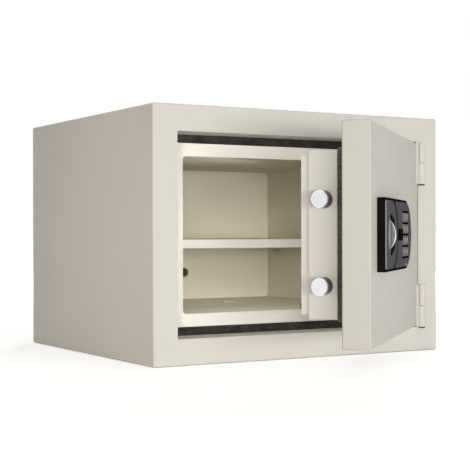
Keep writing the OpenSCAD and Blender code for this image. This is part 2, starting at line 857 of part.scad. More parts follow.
module override_cap() {
    w = square_w/2;
    h = square_h/2;
    stem = 1.5 + seat;
    color(black) in_door() {
        pane([square_x - w, fascia_y - square_up, knob_z - h], [square_x + w, fascia_y, knob_z + h], 1.5);
        block([square_x - w + stem, fascia_y - cut, knob_z - h + stem],
            [square_x + w - stem, -lock_t + wall_t, knob_z + h - stem]);
    }
}

module status_light() {
    color([0.9, 0.9, 0.85]) in_door()
        bar_y(light_x, light_z, light_r, fascia_y - 0.3, -lock_t + wall_t);
}

module lock_cable() {
    color(black) in_door() {
        bar_y(cable_x, cable_z, cable_r - seat, board_y0 + board_t/2, mech_y1 + 1);
        block([cable_x - 6, mech_y1, cable_z - 4], [cable_x + 6, mech_y1 + 6, cable_z + 4]);
    }
}

// Straight teeth of the rack, hanging below its root line
module rack_teeth() {
    half = PI*tooth_m/4 - backlash/4;
    tip = half - rack_add*tan(pressure);
    root = half + rack_ded*tan(pressure);
    for (i = [-6:2])
        translate([knob_x + (i + 0.5)*PI*tooth_m, rack_z])
            polygon([[-root, rack_ded], [-tip, -rack_add], [tip, -rack_add], [root, rack_ded]]);
}

module bolt_carriage() {
    z0 = lower_arm_z - arm_h/2;
    slot_end = stud_r + slack;
    color(steel) in_door() {
        difference() {
            along_y(carriage_y0, carriage_y1) union() {
                translate([bar_x0, bolt_z[0] - lug_h/2 - 1]) square([bar_w, bolt_pitch + lug_h + 2]);
                translate([bar_x0, upper_arm_z - arm_h/2]) square([arm_x1 - bar_x0, arm_h]);
                translate([bar_x0, z0]) square([lower_arm_x1 - bar_x0, arm_h]);
            }
            for (p = [upper_stud, lower_stud])
                pane([p[0] - travel - slot_end, carriage_y0 - cut, p[1] - slot_end],
                    [p[0] + slot_end, carriage_y1 + cut, p[1] + slot_end], slot_end - 0.01);
            bar_y(plunger_x, lower_arm_z, plunger_r + free, carriage_y0 - cut, carriage_y1 + cut);
        }
        along_y(rack_y0, carriage_y0 + seat) union() {
            rack_teeth();
            translate([knob_x - 5.8*PI*tooth_m, rack_z + rack_ded - 0.01])
                square([8.6*PI*tooth_m, rack_bar]);
        }
        for (z = bolt_z) difference() {
            block([lug_x0, bolt_y - bolt_r + 1, z - lug_h/2],
                [lug_x0 + lug_t, carriage_y0 + seat, z + lug_h/2]);
            bar_x(bolt_y, z, fix_r + slack, lug_x0 - cut, lug_x0 + lug_t + cut);
        }
    }
}

module lock_bolt(z) {
    color(chrome) in_door() difference() {
        union() {
            bar_x(bolt_y, z, bolt_r, bolt_tip + bolt_bevel, lug_x0);
            translate([bolt_tip, bolt_y, z]) rotate([0, 90, 0])
                cylinder(r1 = bolt_r - bolt_bevel, r2 = bolt_r, h = bolt_bevel);
        }
        bar_x(bolt_y, z, fix_r + seat, lug_x0 - fix_len - 1, lug_x0 + cut);
    }
}

module bolt_screws() {
    color(steel) in_door() for (z = bolt_z) {
        bar_x(bolt_y, z, fix_r, lug_x0 - fix_len, lug_x0 + lug_t + seat);
        bar_x(bolt_y, z, fix_head_r, lug_x0 + lug_t, lug_x0 + lug_t + 4);
    }
}

module knob() {
    disc_y1 = -well_back - well_floor - free;
    grip_y0 = fascia_y - grip_up;
    hollow_r = 8;
    hollow = 1.4;
    color(chrome) in_door() difference() {
        union() {
            bar_y(knob_x, knob_z, knob_d/2, disc_y0, disc_y1);
            difference() {
                intersection() {
                    bar_x(grip_y0 + grip_r, knob_z, grip_r, knob_x - grip_t/2, knob_x + grip_t/2);
                    bar_y(knob_x, knob_z, knob_d/2 - 1, grip_y0, disc_y0 + seat);
                }
                for (side = [-1, 1])
                    bar_z(knob_x + side*(hollow_r + grip_t/2 - hollow), disc_y0 - 2.4,
                        hollow_r, knob_z - knob_d/2, knob_z + knob_d/2);
            }
        }
        bar_y(knob_x, knob_z, spindle_r + 0.02, spindle_y0, disc_y1 + cut);
    }
}

module knob_spindle() {
    color(steel) in_door() {
        bar_y(knob_x, knob_z, spindle_r, spindle_y0, rack_y0 + 8);
        bar_y(knob_x, knob_z, spindle_r + 2.2, rack_y0 + 6.6, rack_y0 + 7.6);
    }
}

// Involute flank of the pinion, in degrees off the tooth's middle at a radius
base_r = pitch_r*cos(pressure);
function involute(a) = tan(a)*180/PI - a;
function flank(r) = 90/teeth - backlash/4*180/(PI*pitch_r)
    - (involute(acos(min(1, base_r/r))) - involute(pressure));
function polar(r, a) = [r*cos(a), r*sin(a)];
pinion_root = pitch_r - 1.25*tooth_m;
pinion_tip = pitch_r + 0.9*tooth_m;
flank_steps = 4;
flank_radii = [for (i = [0:flank_steps]) base_r + (pinion_tip - base_r)*i/flank_steps];
function tooth(a) = concat([polar(pinion_root, a - flank(base_r))],
    [for (r = flank_radii) polar(r, a - flank(r))],
    [for (i = [flank_steps:-1:0]) polar(flank_radii[i], a + flank(flank_radii[i]))],
    [polar(pinion_root, a + flank(base_r))]);

module pinion() {
    color(brass) in_door() difference() {
        translate([knob_x, 0, knob_z]) along_y(rack_y0 + 0.5, rack_y0 + 6.5)
            polygon([for (k = [0:teeth - 1]) each tooth(90 + k*360/teeth)]);
        bar_y(knob_x, knob_z, spindle_r + 0.02, rack_y0, rack_y0 + 8);
    }
}

module solenoid_plunger() {
    color(chrome) in_door()
        bar_y(plunger_x, lower_arm_z, plunger_r, mech_y1 + 3.5, carriage_y0 - 1.5);
}

module battery_lid() {
    x = box_w/2 + lid_over;
    z = box_h/2 + lid_over;
    grip_z = knob_z + z - 12;
    color(cream) in_door() {
        block([box_x - x, cover_y1 + slack, knob_z - z],
            [box_x + x, cover_y1 + slack + lid_t, knob_z + z]);
        for (i = [0:2])
            block([box_x - 10, cover_y1 + lid_t, grip_z + i*3],
                [box_x + 10, cover_y1 + lid_t + 1, grip_z + i*3 + 1.2]);
    }
}

module key(col, row) {
    x = key_x(col);
    z = key_z(row);
    w = key_w/2;
    h = key_h/2;
    color(key_grey) in_door() {
        pane([x - w, fascia_y - 0.4, z - h], [x + w, key_back, z + h], 0.8);
        block([x - w - key_lip, -lock_t + wall_t + slack, z - h - key_lip],
            [x + w + key_lip, key_back, z + h + key_lip]);
    }
}

outer_shell();
back_panel();
door_frame();
cabinet_insulation();
inner_liner();
frame_seal();
strike_channel();
shelf_pegs();
anchor_sleeves();
anchor_grommets();
frame_hinge(hinge_z[1]);  // upper_frame_hinge
frame_hinge(hinge_z[0]);  // lower_frame_hinge
hinge_pins();
shelf();
door_outer_pan();
door_insulation();
door_plug_pan();
door_seal();
inner_cover();
cover_screws();
door_hinge(hinge_z[1]);  // upper_door_hinge
door_hinge(hinge_z[0]);  // lower_door_hinge
mechanism_plate();
bolt_guides();
carriage_studs();
spindle_tube();
solenoid();
battery_box();
batteries();
lock_housing();
knob_fascia();
keypad_fascia();
keypad_bezel();
circuit_board();
keypad_mat();
override_cap();
status_light();
lock_cable();
bolt_carriage();
lock_bolt(bolt_z[1]);  // upper_bolt
lock_bolt(bolt_z[0]);  // lower_bolt
bolt_screws();
knob();
knob_spindle();
pinion();
solenoid_plunger();
battery_lid();
key(0, 0);  // key_1
key(1, 0);  // key_2
key(2, 0);  // key_3
key(0, 1);  // key_4
key(1, 1);  // key_5
key(2, 1);  // key_6
key(0, 2);  // key_7
key(1, 2);  // key_8
key(2, 2);  // key_9
key(0, 3);  // key_clear
key(1, 3);  // key_0
key(2, 3);  // key_enter
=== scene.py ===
"""Looks of the electronic safe: materials, seals, key figures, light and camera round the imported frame."""

import json
import math

import bpy
from mathutils import Matrix, Vector


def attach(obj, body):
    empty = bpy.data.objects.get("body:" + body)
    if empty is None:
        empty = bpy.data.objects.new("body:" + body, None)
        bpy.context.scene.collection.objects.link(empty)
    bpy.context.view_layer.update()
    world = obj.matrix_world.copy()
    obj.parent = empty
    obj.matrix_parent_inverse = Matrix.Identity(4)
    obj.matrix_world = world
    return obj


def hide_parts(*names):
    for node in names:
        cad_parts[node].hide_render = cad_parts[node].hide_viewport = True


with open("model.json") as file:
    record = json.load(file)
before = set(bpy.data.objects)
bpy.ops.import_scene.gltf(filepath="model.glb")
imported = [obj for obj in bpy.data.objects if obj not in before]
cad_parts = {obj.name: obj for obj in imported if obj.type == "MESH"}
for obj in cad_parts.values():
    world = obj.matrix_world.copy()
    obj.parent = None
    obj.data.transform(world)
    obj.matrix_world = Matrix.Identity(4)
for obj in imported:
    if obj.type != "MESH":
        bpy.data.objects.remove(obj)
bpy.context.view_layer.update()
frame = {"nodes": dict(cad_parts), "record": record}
MM = 0.001

# The cabinet's depth, the hinge axis and the angle at which the door stands open. Lengths are in mm
# unless a comment says metres, and Y counts from the middle of the cabinet.
CAB_D = 375
PIN_OUT = 4.8
PIN = Vector((177, -PIN_OUT - CAB_D/2, 0))
DOOR_OPEN = math.radians(43)
DOOR_X = (math.cos(DOOR_OPEN), math.sin(DOOR_OPEN), 0)

# Places on the closed door: its middle height, the plug's sides, and the lock's left edge, knob and joint.
# The joint's paint is full out to the first half width, and gone at the second.
MID_Z = 150
PLUG_X0, PLUG_X1 = -142.4, 144.9
PLUG_Z0, PLUG_Z1 = 61.1, 238.9
FASCIA_X0 = -133.8
KNOB_X = -97.5
SEAM_R = 39.2
SEAM_HALF = (2.1, 2.5)

# The photograph's camera: place from the front face, turn in degrees, and lens on a 36 mm frame
CAM_SPOT = (-810.6, -1203.3, 151.5)
CAM_YAW, CAM_PITCH, CAM_ROLL = 30.595, -0.066, -0.127
CAM_LENS = 91.39
CAM_FRAME = 36

# Strength of the even light from all round, and the floor's glow for the camera near the safe
AMBIENT = 0.15
FLOOR_GLOW = 0.53

CREAM = (217, 213, 204)
WARM_CREAM = (212, 205, 184)


def front(x, y, z):
    """Millimetres from the cabinet's front face to the frame's metres."""
    return Vector((x, y - CAB_D/2, z))*MM


def from_front():
    """Moves what is drawn from the cabinet's front face to the frame's middle, in metres."""
    return Matrix.Translation((0, -CAB_D/2*MM, 0))


def door_matrix():
    """Takes door pieces drawn closed, in metres from the front face, to where the door stands."""
    pin = PIN*MM
    turn = Matrix.Rotation(DOOR_OPEN, 4, "Z")
    return Matrix.Translation(pin) @ turn @ Matrix.Translation(-pin) @ from_front()


def add_object(name, data):
    obj = bpy.data.objects.new(name, data)
    bpy.context.scene.collection.objects.link(obj)
    return obj


# Camera

def make_camera():
    """The photograph's camera, nearly level with the middle of the cabinet."""
    yaw, pitch, roll = (math.radians(a) for a in (CAM_YAW, CAM_PITCH, CAM_ROLL))
    ahead = Vector((math.sin(yaw)*math.cos(pitch), math.cos(yaw)*math.cos(pitch), math.sin(pitch)))
    right = Vector((math.cos(yaw), -math.sin(yaw), 0))
    up = right.cross(ahead)
    right, up = (math.cos(roll)*right + math.sin(roll)*up,
                 math.cos(roll)*up - math.sin(roll)*right)
    data = bpy.data.cameras.new("camera")
    data.sensor_width = CAM_FRAME
    data.lens = CAM_LENS
    data.clip_start = 0.05
    cam = add_object("camera", data)
    turn = Matrix((right, up, -ahead)).transposed().to_4x4()
    cam.matrix_world = Matrix.Translation(front(*CAM_SPOT)) @ turn
    bpy.context.scene.camera = cam


# Shader building blocks

def screen(r, g, b):
    """A colour as it is seen on screen, 0 to 255, in the linear values that shaders take."""
    def lin(c):
        c /= 255
        return c/12.92 if c <= 0.04045 else ((c + 0.055)/1.055)**2.4
    return (lin(r), lin(g), lin(b), 1)


def shade(rgb, factor):
    """A linear colour made darker or lighter."""
    return tuple(min(1, c*factor) for c in rgb[:3]) + (1,)


class Look:
    """One material, with the few node patterns that the finishes here are made of."""

    def __init__(self, name, rough, metal=0.0):
        self.mat = bpy.data.materials.new(name)
        self.mat.use_nodes = True
        self.tree = self.mat.node_tree
        self.bsdf = self.tree.nodes["Principled BSDF"]
        self.bsdf.inputs["Metallic"].default_value = metal
        self.bsdf.inputs["Roughness"].default_value = rough
        self.coord = self.tree.nodes.new("ShaderNodeTexCoord").outputs["Object"]
        self.normal = None

    def node(self, kind, **props):
        n = self.tree.nodes.new(kind)
        for key, value in props.items():
            setattr(n, key, value)
        return n

    def link(self, a, b):
        self.tree.links.new(a, b)

    def axis(self, letter):
        """One of the object coordinates, X, Y or Z."""
        split = self.node("ShaderNodeSeparateXYZ")
        self.link(self.coord, split.inputs[0])
        return split.outputs[letter]

    def spot(self, turn=0.0, stretch=(1, 1, 1)):
        """Object coordinates, turned about Z and stretched."""
        m = self.node("ShaderNodeMapping")
        self.link(self.coord, m.inputs["Vector"])
        m.inputs["Rotation"].default_value = (0, 0, turn)
        m.inputs["Scale"].default_value = stretch
        return m.outputs["Vector"]

    def noise(self, scale, detail=3.0, rough=0.5, where=None):
        n = self.node("ShaderNodeTexNoise")
        n.inputs["Scale"].default_value = scale
        n.inputs["Detail"].default_value = detail
        n.inputs["Roughness"].default_value = rough
        self.link(where or self.coord, n.inputs["Vector"])
        return n.outputs[0]

    def cells(self, scale):
        n = self.node("ShaderNodeTexVoronoi")
        n.inputs["Scale"].default_value = scale
        self.link(self.coord, n.inputs["Vector"])
        return n.outputs["Distance"]

    def ramp(self, value, low, high, at=(0.35, 0.65)):
        """Maps a pattern to the range low to high."""
        m = self.node("ShaderNodeMapRange")
        m.inputs["From Min"].default_value, m.inputs["From Max"].default_value = at
        m.inputs["To Min"].default_value, m.inputs["To Max"].default_value = low, high
        self.link(value, m.inputs["Value"])
        return m.outputs["Result"]

    def blend(self, value, first, second):
        """Mixes two colours, each a colour or a socket, by a pattern."""
        m = self.node("ShaderNodeMix", data_type="RGBA")
        self.link(value, m.inputs[0])
        for socket, colour in ((m.inputs[6], first), (m.inputs[7], second)):
            if isinstance(colour, tuple):
                socket.default_value = colour
            else:
                self.link(colour, socket)
        return m.outputs[2]

    def tones(self, value, colour, low, high):
        """A colour that wavers between two shades of itself."""
        return self.blend(value, shade(colour, low), shade(colour, high))

    def facing(self, along):
        """How far the surface faces a direction of the resting frame, from -1 to 1."""
        return self.dot(self.node("ShaderNodeTexCoord").outputs["Normal"], along)

    def dot(self, vector, along):
        n = self.node("ShaderNodeVectorMath", operation="DOT_PRODUCT")
        self.link(vector, n.inputs[0])
        n.inputs[1].default_value = along
        return n.outputs["Value"]

    def size(self, value):
        """The value without its sign."""
        n = self.node("ShaderNodeMath", operation="ABSOLUTE")
        self.link(value, n.inputs[0])
        return n.outputs[0]

    def colour(self, socket):
        self.link(socket, self.bsdf.inputs["Base Color"])

    def roughness(self, socket):
        self.link(socket, self.bsdf.inputs["Roughness"])

    def mirror(self, level):
        """How much a paint or plastic reflects, where 0.5 is usual and 0 is nothing."""
        self.bsdf.inputs["Specular IOR Level"].default_value = level

    def bump(self, height, depth, strength=1.0):
        """Adds relief. depth is the real height in metres between the pattern's 0 and 1."""
        b = self.node("ShaderNodeBump")
        b.inputs["Strength"].default_value = strength
        b.inputs["Distance"].default_value = depth
        self.link(height, b.inputs["Height"])
        if self.normal:
            self.link(self.normal, b.inputs["Normal"])
        self.normal = b.outputs["Normal"]
        self.link(self.normal, self.bsdf.inputs["Normal"])


# Finishes

def paint(name, rgb, rough, deep=None):
    """Baked enamel on sheet steel: even colour with faint clouding, orange peel and slow waves.

    deep is a warmer colour of the same enamel, from just behind the opening inwards.
    """
    k = Look(name, rough)
    base = screen(*rgb)
    cloud = k.ramp(k.noise(scale=9, detail=4), 0, 1)
    fleck = k.ramp(k.noise(scale=420, detail=2), 0, 1)
    flecked = k.ramp(k.noise(scale=60, detail=2), 0.25, 0.6)
    clouded = {"low": 0.975, "high": 1.015}
    tone = k.blend(flecked, k.tones(cloud, base, **clouded), k.tones(fleck, base, 0.985, 1.01))
    if deep:
        change_y, change_width = front(0, 39, 0).y, 6*MM
        inward = k.ramp(k.axis("Y"), 0, 1, (change_y, change_y + change_width))
        tone = k.blend(inward, tone, k.tones(cloud, screen(*deep), **clouded))
    k.colour(tone)
    k.roughness(k.ramp(k.noise(scale=70, detail=4), rough - 0.05, rough + 0.06))
    k.bump(k.noise(scale=3.2, detail=1), depth=0.0006, strength=0.35)
    k.bump(k.noise(scale=650, detail=2, rough=0.4), depth=0.00006, strength=0.55)
    k.mirror(0.15)
    return k.mat


def moulding(name, rgb, rough, grain=1.0, shine=0.2, over=None):
    """Injection moulded plastic with a spark-eroded grain. over changes its colour in places."""
    k = Look(name, rough)
    tone = k.tones(k.ramp(k.noise(scale=45, detail=4), 0, 1), screen(*rgb), 0.93, 1.07)
    k.colour(over(k, tone) if over else tone)
    k.roughness(k.ramp(k.noise(scale=220), rough - 0.06, rough + 0.08))
    k.bump(k.cells(scale=1500), depth=0.00005*grain, strength=0.6)
    k.bump(k.noise(scale=2550, detail=2), depth=0.00003*grain, strength=0.6)
    k.mirror(shine)
    return k.mat


def lock_joint(k, tone):
    """Paints near-black the walls that face the bolts, for the joint's dark gap and as painted shade in the
    hollows, and paints dark the joint between the lock's two front halves.

    The walls' outermost edge is painted pale, a painted highlight where light catches it. The joint is an
    arc about the knob's axis. Positions are along the closed door, and past is how much its direction adds
    to them.
    """
    past = DOOR_X[0]*PIN.x*MM + DOOR_X[1]*PIN.y*MM - PIN.x*MM
    across = k.dot(k.coord, DOOR_X)
    # Walls facing the bolts: near-black painted shade, with a pale painted highlight along their outermost
    # edge.
    edge = k.ramp(across, 1, 0, (past + (FASCIA_X0 + 0.5)*MM, past + (FASCIA_X0 + 0.8)*MM))
    shaded_wall_mask = k.ramp(k.facing(DOOR_X), 1, 0, (-0.75, -0.45))
    tone = k.blend(shaded_wall_mask, tone, k.blend(edge, screen(20, 19, 18), screen(152, 144, 139)))
    unit = 100
    knob_x, knob_z = past + KNOB_X*MM, MID_Z*MM
    place = k.node("ShaderNodeCombineXYZ")
    k.link(k.ramp(across, 0, 1, (knob_x, knob_x + unit*MM)), place.inputs["X"])
    k.link(k.ramp(k.axis("Z"), -1, 1, (knob_z - unit*MM, knob_z + unit*MM)), place.inputs["Y"])
    radius = k.node("ShaderNodeVectorMath", operation="LENGTH")
    k.link(place.outputs[0], radius.inputs[0])
    off = k.node("ShaderNodeMath", operation="SUBTRACT")
    k.link(radius.outputs["Value"], off.inputs[0])
    off.inputs[1].default_value = SEAM_R/unit
    seam = k.ramp(k.size(off.outputs[0]), 1, 0, tuple(r/unit for r in SEAM_HALF))
    return k.blend(seam, tone, screen(16, 15, 14))


def metal(name, rgb, rough):
    """Plated or ground steel: fine level lines and faint staining."""
    k = Look(name, rough, metal=1.0)
    lines = k.noise(scale=55, rough=0.6, where=k.spot(stretch=(1, 1, 40)))
    k.colour(k.tones(k.ramp(k.noise(scale=30, detail=4), 0, 1), screen(*rgb), 0.93, 1))
    k.roughness(k.ramp(lines, rough*0.75, rough*1.3))
    k.bump(lines, depth=0.000018, strength=0.5)
    return k.mat


def two_faced(name, at, face, side, rough, side_rough, rim=None, graze=1.0):
    """Plated metal in two painted tones, lit and shaded copies of one finish: faces square to the bolts look
    unlike the rest of it, as painted reflection and highlight.

    rim is the colour between them, a painted highlight, and graze the share of light that a steep view sends
    back.
    """
    k = Look(name, rough, metal=1.0)
    square = k.ramp(k.size(k.facing(DOOR_X)), 0, 1, at)
    haze = k.noise(scale=90, detail=4)
    stain = k.ramp(haze, 0, 1)
    tone = k.blend(square, k.tones(stain, screen(*side), 0.85, 1), k.tones(stain, screen(*face), 0.97, 1))
    if rim:
        rim_highlight_mask = k.ramp(k.size(k.ramp(square, -1, 1, (0, 1))), 1, 0, (0.6, 0.95))
        tone = k.blend(rim_highlight_mask, tone, screen(*rim))
    k.colour(tone)
    k.roughness(k.blend(square, k.ramp(haze, side_rough*0.8, side_rough*1.3),
                        k.ramp(haze, rough*0.8, rough*1.3)))
    k.bump(k.noise(scale=1200, detail=1), depth=0.000002, strength=0.2)
    k.bsdf.inputs["Specular Tint"].default_value = (graze, graze, graze, 1)
    return k.mat


def braid():
    """Heat seal of braided yarn, in dusty brown-black."""
    k = Look("braid", 0.85)
    yarn = k.noise(scale=900, rough=0.7)
    tuft = k.noise(scale=620, detail=2, rough=0.6)
    tone = k.blend(k.ramp(yarn, 0, 1), screen(46, 41, 37), screen(88, 80, 74))
    tone = k.blend(k.ramp(tuft, 0, 1, (0.5, 0.66)), tone, screen(118, 109, 101))
    k.colour(k.blend(k.ramp(tuft, 0.7, 0, (0.36, 0.48)), tone, screen(28, 25, 22)))
    k.bump(yarn, depth=0.00015, strength=0.9)
    k.bsdf.inputs["Sheen Weight"].default_value = 0.25
    return k.mat


def gasket():
    """Closed-cell rubber of the flat seal, with fine pores."""
    k = Look("gasket", 0.7)
    tone = k.blend(k.ramp(k.noise(scale=60, detail=4), 0, 1), screen(44, 40, 37), screen(70, 65, 61))
    worn = k.ramp(k.noise(scale=450, detail=2, rough=0.6), 0.7, 0, (0.38, 0.5))
    k.colour(k.blend(worn, tone, screen(20, 18, 17)))
    k.roughness(k.ramp(k.noise(scale=150), 0.6, 0.85))
    k.bump(k.cells(scale=900), depth=0.00012, strength=0.6)
    return k.mat


def filler():
    """Cast mineral filling, seen only when the safe is taken apart."""
    k = Look("filler", 0.95)
    grit = k.ramp(k.noise(scale=80, detail=6, rough=0.7), 0, 1)
    k.colour(k.blend(grit, screen(160, 157, 150), screen(200, 197, 188)))
    k.bump(k.noise(scale=260, detail=5, rough=0.7), depth=0.0004, strength=0.8)
    return k.mat


def board():
    """Lacquered circuit board with lighter tracks."""
    k = Look("board", 0.3)
    tracks = k.node("ShaderNodeTexBrick")
    tracks.inputs["Scale"].default_value = 60
    for socket, colour in (("Color1", (20, 92, 54)), ("Color2", (26, 104, 62)), ("Mortar", (60, 130, 80))):
        tracks.inputs[socket].default_value = screen(*colour)
    k.link(k.spot(-DOOR_OPEN), tracks.inputs["Vector"])
    k.colour(tracks.outputs["Color"])
    k.bump(tracks.outputs["Fac"], depth=0.00003, strength=0.7)
    return k.mat


def winding():
    """Varnished copper wire wound on the coil."""
    k = Look("winding", 0.35, metal=0.9)
    turns = k.node("ShaderNodeTexWave", bands_direction="Y")
    turns.inputs["Scale"].default_value = 900
    k.link(k.spot(-DOOR_OPEN), turns.inputs["Vector"])
    k.colour(k.blend(turns.outputs["Fac"], screen(120, 58, 26), screen(196, 118, 66)))
    k.bump(turns.outputs["Fac"], depth=0.0001, strength=0.8)
    return k.mat


def sleeve():
    """Plain wrap of a battery: a dark body with a coppery top, which starts at a height in metres."""
    k = Look("sleeve", 0.32)
    top = k.ramp(k.axis("Z"), 0, 1, (0.158, 0.159))
    k.colour(k.blend(top, screen(36, 36, 38), screen(190, 132, 74)))
    k.roughness(k.ramp(k.noise(scale=300), 0.25, 0.4))
    return k.mat


def lens():
    """Clear moulded lens of the status light."""
    k = Look("lens", 0.12)
    haze = k.ramp(k.noise(scale=500, detail=2), 0, 1)
    k.colour(k.blend(haze, screen(214, 214, 208), screen(236, 236, 230)))
    k.bsdf.inputs["Coat Weight"].default_value = 0.6
    return k.mat


def finishes():
    """One material for each slot of the record, and three for single nodes."""
    return {
        "cream_paint": paint("cream_paint", CREAM, rough=0.46),
        "liner_paint": paint("liner_paint", CREAM, rough=0.52, deep=WARM_CREAM),
        # The door's cream is a darker copy of the cabinet's: painted shade for the lesser light on the open
        # door's face.
        "door_shaded_paint": paint("door_shaded_paint", (204, 200, 190), rough=0.46),
        # The anchor sleeves are a khaki darker than the cream: painted shade down the bores.
        "bore_shade_paint": paint("bore_shade_paint", (150, 142, 120), rough=0.5),
        # Dark steel for the hinge pins and cover screws; on the pins' ends under the hinges it is painted
        # shade.
        "dark_pin": metal("dark_pin", (60, 58, 56), rough=0.5),
        "fire_filler": filler(),
        "seal_foam": gasket(),
        "seal_braid": braid(),
        "zinc_steel": metal("zinc_steel", (196, 198, 202), rough=0.34),
        # Bolts: bright end faces, sides painted dark as painted reflection, and a white rim as painted
        # highlight.
        "polished_steel": two_faced("polished_steel", at=(0.2, 0.92), face=(224, 225, 228),
                                    side=(100, 102, 107), rough=0.22, side_rough=0.16,
                                    rim=(253, 253, 253), graze=0.46),
        # Knob: the blade's rounded rim is painted pale as painted highlight, and its flat sides are darker.
        "satin_chrome": two_faced("satin_chrome", at=(0.15, 0.45), face=(153, 157, 158),
                                  side=(214, 216, 218), rough=0.32, side_rough=0.22),
        "black_plastic": moulding("black_plastic", (22, 21, 19), rough=0.4, shine=0),
        "slate_plastic": moulding("slate_plastic", (93, 93, 98), rough=0.5, shine=0, over=lock_joint),
        "key_plastic": moulding("key_plastic", (130, 125, 120), rough=0.5, grain=0.4, shine=0),
        "mat_rubber": moulding("mat_rubber", (150, 150, 146), rough=0.7),
        "board": board(),
        "coil": winding(),
        "gear_brass": metal("gear_brass", (200, 168, 96), rough=0.3),
        "cell_wrap": sleeve(),
        "clear_lens": lens(),
    }


# Nodes whose look isn't that of their slot in the record
SPECIAL_LOOKS = {
    "door_outer_pan": "door_shaded_paint", "hinge_pins": "dark_pin", "shelf": "cream_paint",
    "cover_screws": "dark_pin", "anchor_sleeves": "bore_shade_paint",
}

# Points nearer than this are one, in mm, and an edge that turns by more than this many degrees is sharp
WELD = 0.01
SHARP = 38

# Shown nodes by the width of their softened edges in mm. All keys share one width.
KEY_EDGE = 0.35
SOFT_EDGES = {
    0.15: ("keypad_bezel",),
    0.2: ("cover_screws",),
    0.25: ("anchor_grommets",),
    0.3: ("back_panel", "door_frame", "door_outer_pan", "hinge_pins", "knob_fascia", "keypad_fascia",
          "upper_bolt", "lower_bolt"),
    0.35: ("outer_shell", "battery_lid"),
    0.4: ("inner_liner", "shelf_pegs"),
    0.45: ("shelf", "upper_frame_hinge", "lower_frame_hinge", "upper_door_hinge", "lower_door_hinge"),
    0.5: ("door_plug_pan",),
    0.55: ("knob",),
    0.6: ("lock_housing",),
    0.7: ("override_cap",),
    0.8: ("inner_cover",),
}


def edge_width(node):
    """Width of a node's softened edges in mm, or None for a node that doesn't show."""
    if node.startswith("key_"):
        return KEY_EDGE
    return next((width for width, nodes in SOFT_EDGES.items() if node in nodes), None)


def soften(obj, width):
    """Rounds an object's sharp edges and keeps its flat faces flat."""
    weld = obj.modifiers.new("weld", "WELD")
    weld.merge_threshold = WELD*MM
    bevel = obj.modifiers.new("soft_edge", "BEVEL")
    bevel.width = width*MM
    bevel.segments = 3
    bevel.limit_method = "ANGLE"
    bevel.angle_limit = math.radians(SHARP)
    bevel.use_clamp_overlap = True
    flat = obj.modifiers.new("flat_faces", "WEIGHTED_NORMAL")
    flat.weight = 100
    flat.keep_sharp = True


def dress_nodes(looks):
    """Gives every CAD node its finish, and softens the edges of those that show."""
    slots = {s["node"]: s["material_slot"] for s in frame["record"]["subparts"]}
    for name, obj in frame["nodes"].items():
        look = looks[SPECIAL_LOOKS.get(name, slots[name])]
        if obj.material_slots:
            for s in obj.material_slots:
                s.material = look
        else:
            obj.data.materials.append(look)
        width = edge_width(name)
        if width:
            soften(obj, width)


# Seals

def ring_path(x0, z0, x1, z1, radius, step):
    """Points and outward directions round a rectangle with round corners, in the XZ plane, in mm."""
    points = []
    corners = ((x1 - radius, z1 - radius, 0), (x0 + radius, z1 - radius, 90),
               (x0 + radius, z0 + radius, 180), (x1 - radius, z0 + radius, 270))

    def on_arc(corner, share):
        x, z, start = corner
        a = math.radians(start + 90*share)
        return (x + radius*math.cos(a), z + radius*math.sin(a), math.cos(a), math.sin(a))

    for i, corner in enumerate(corners):
        n = max(3, int(radius*math.pi/2/step))
        points += [on_arc(corner, j/n) for j in range(n + 1)]
        start, end = points[-1], on_arc(corners[(i + 1) % 4], 0)
        dx, dz = end[0] - start[0], end[1] - start[1]
        m = max(1, int(math.hypot(dx, dz)/step))
        points += [(start[0] + dx*j/m, start[1] + dz*j/m, end[2], end[3]) for j in range(1, m)]
    return points


def swept_ring(name, path, profile, place):
    """A closed band: at each path point the profile gives (outward, depth) pairs in mm."""
    verts, faces, run = [], [], 0.0
    for i, (x, z, nx, nz) in enumerate(path):
        if i:
            run += math.hypot(x - path[i - 1][0], z - path[i - 1][1])
        for out, y in profile(run):
            verts.append(place @ (Vector((x + nx*out, y, z + nz*out))*MM))
    count = len(verts)//len(path)
    for i in range(len(path)):
        here, there = i*count, (i + 1) % len(path)*count
        for k in range(count):
            after = (k + 1) % count
            faces.append((here + k, there + k, there + after, here + after))
    mesh = bpy.data.meshes.new(name)
    mesh.from_pydata(verts, [], faces)
    for p in mesh.polygons:
        p.use_smooth = True
    mesh.update()
    return add_object(name, mesh)


def braided_seal(look):
    """The heat seal round the door's plug: a flat braid with crossing yarns."""
    front_y, width, pitch, columns = 30.0, 10.6, 3.1, 20
    corner_r, step = 3.0, 0.9
    hem, tuck, squareness = 0.15, 0.1, 5
    valley, yarn_rise, under = 1.75, 0.7, 0.55

    def profile(run):
        pairs = [(0.0, front_y + tuck)]
        for c in range(columns + 1):
            t = c/columns
            y = front_y + hem + (width - 2*hem)*t
            edge = math.sqrt(max(0.0, 1 - abs(2*t - 1)**squareness))
            p, q = (run + t*width)/pitch, (run - t*width)/pitch
            first_over = (math.floor(p) + math.floor(q)) % 2
            first, second = math.sin(math.pi*p)**2, math.sin(math.pi*q)**2
            relief = max(first*(1.0 if first_over else under), second*(under if first_over else 1.0))
            pairs.append((edge*(valley + yarn_rise*relief), y))
        pairs.append((0.0, front_y + width - tuck))
        return pairs

    path = ring_path(PLUG_X0, PLUG_Z0, PLUG_X1, PLUG_Z1, corner_r, step)
    seal = swept_ring("heat_seal_braid", path, profile, door_matrix())
    seal.data.materials.append(look)
    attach(seal, "door")
    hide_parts("door_seal")


